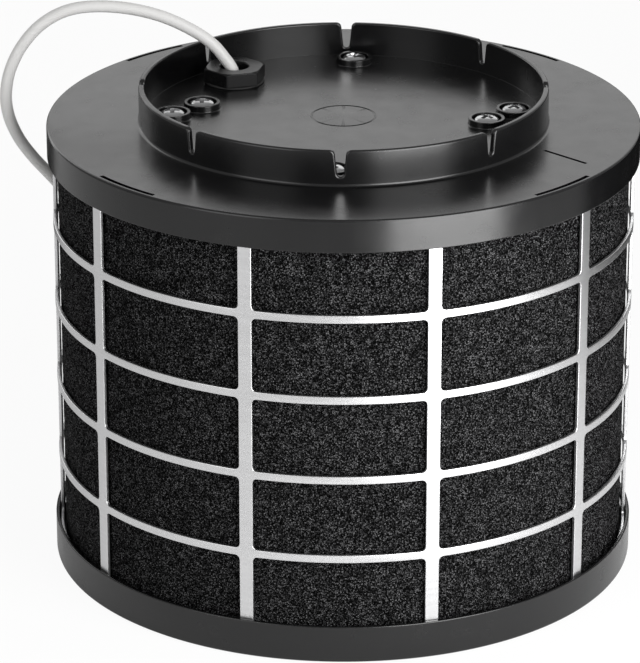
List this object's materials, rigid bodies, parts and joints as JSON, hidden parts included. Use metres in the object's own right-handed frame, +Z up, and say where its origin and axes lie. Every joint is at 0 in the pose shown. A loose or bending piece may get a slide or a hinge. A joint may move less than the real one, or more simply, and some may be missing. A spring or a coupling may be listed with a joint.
{
  "type": "cylindrical recirculating air filter canister",
  "caption": "Cylindrical recirculating-air filter canister: caged carbon-foam sleeve between black moulded end caps, plasma module inside, mains lead and gland on top.",
  "frame": {"origin": "on the floor under the canister's axis", "axes": "+Z up along the canister axis; front, as it is usually shown, at -Y; +X to the right seen from the front"},
  "size_m": [0.2843, 0.3564, 0.2392],
  "materials": {
    "cap_black": "moulded gloss black",
    "cage_steel": "satin stainless sheet",
    "carbon_foam": "open-cell foam loaded with carbon grains",
    "core_steel": "galvanised sheet",
    "gasket": "matt foam rubber",
    "guard_black": "moulded matt black",
    "screw_chrome": "bright plated",
    "gland_black": "semi-matt black nylon",
    "seal_rubber": "matt",
    "frame_grey": "moulded satin",
    "box_white": "moulded satin",
    "board_green": "coated board",
    "transformer_dark": "varnished core",
    "capacitor_blue": "satin sleeve",
    "terminal_green": "satin",
    "base_dark": "ceramic-filled plastic",
    "tube_glass": "clear glass",
    "electrode_steel": "bright sheet",
    "lead_red": "silicone sleeve",
    "bracket_cream": "moulded satin",
    "vane_white": "moulded satin",
    "switch_black": "moulded matt",
    "plunger_red": "moulded satin",
    "lead_white": "off-white PVC jacket",
    "tie_black": "hook-and-loop strap",
    "pin_nickel": "nickel plated"
  },
  "bodies": {
    "root": {"top_cap": "cap_black", "bottom_cap": "cap_black", "grid_cage": "cage_steel", "carbon_foam_sleeve": "carbon_foam", "inner_core": "core_steel", "top_gasket": "gasket", "bottom_gasket": "gasket", "inlet_guard": "guard_black", "frame_screws": "screw_chrome", "supply_screws": "screw_chrome", "gland_body": "gland_black", "gland_washer": "seal_rubber", "gland_seal": "seal_rubber", "gland_locknut": "gland_black", "module_frame": "frame_grey", "supply_box": "box_white", "supply_lid": "box_white", "circuit_board": "board_green", "transformer": "transformer_dark", "capacitors": "capacitor_blue", "terminal_block": "terminal_green", "cable_tail": "lead_white", "tube_base_1": "base_dark", "glass_tube_1": "tube_glass", "inner_electrode_1": "electrode_steel", "outer_electrode_1": "electrode_steel", "tube_lead_1": "lead_red", "tube_base_2": "base_dark", "glass_tube_2": "tube_glass", "inner_electrode_2": "electrode_steel", "outer_electrode_2": "electrode_steel", "tube_lead_2": "lead_red", "tube_base_3": "base_dark", "glass_tube_3": "tube_glass", "inner_electrode_3": "electrode_steel", "outer_electrode_3": "electrode_steel", "tube_lead_3": "lead_red", "earth_plate": "electrode_steel", "vane_bracket": "bracket_cream", "vane_pin": "electrode_steel", "pin_clips": "electrode_steel", "micro_switch": "switch_black", "power_cable": "lead_white", "cable_coil": "lead_white", "coil_tie": "tie_black", "plug_body": "lead_white", "plug_pins": "pin_nickel"},
    "vane": {"flow_vane": "vane_white"},
    "plunger": {"switch_plunger": "plunger_red"}
  },
  "joints": [
    {"name": "vane_swing", "type": "hinge", "parent": "root", "child": "vane", "pos_m": [-0.062, 0, 0.0524], "axis": [0, -1, 0], "range_deg": [0, 35]},
    {"name": "plunger_slide", "type": "slide", "parent": "root", "child": "plunger", "axis": [0, 0, -1], "range_m": [0, 0.0012]}
  ],
  "couplings": [
    {"joint": "plunger_slide", "follows": "vane_swing", "m_per_rad": 0.00196}
  ]
}
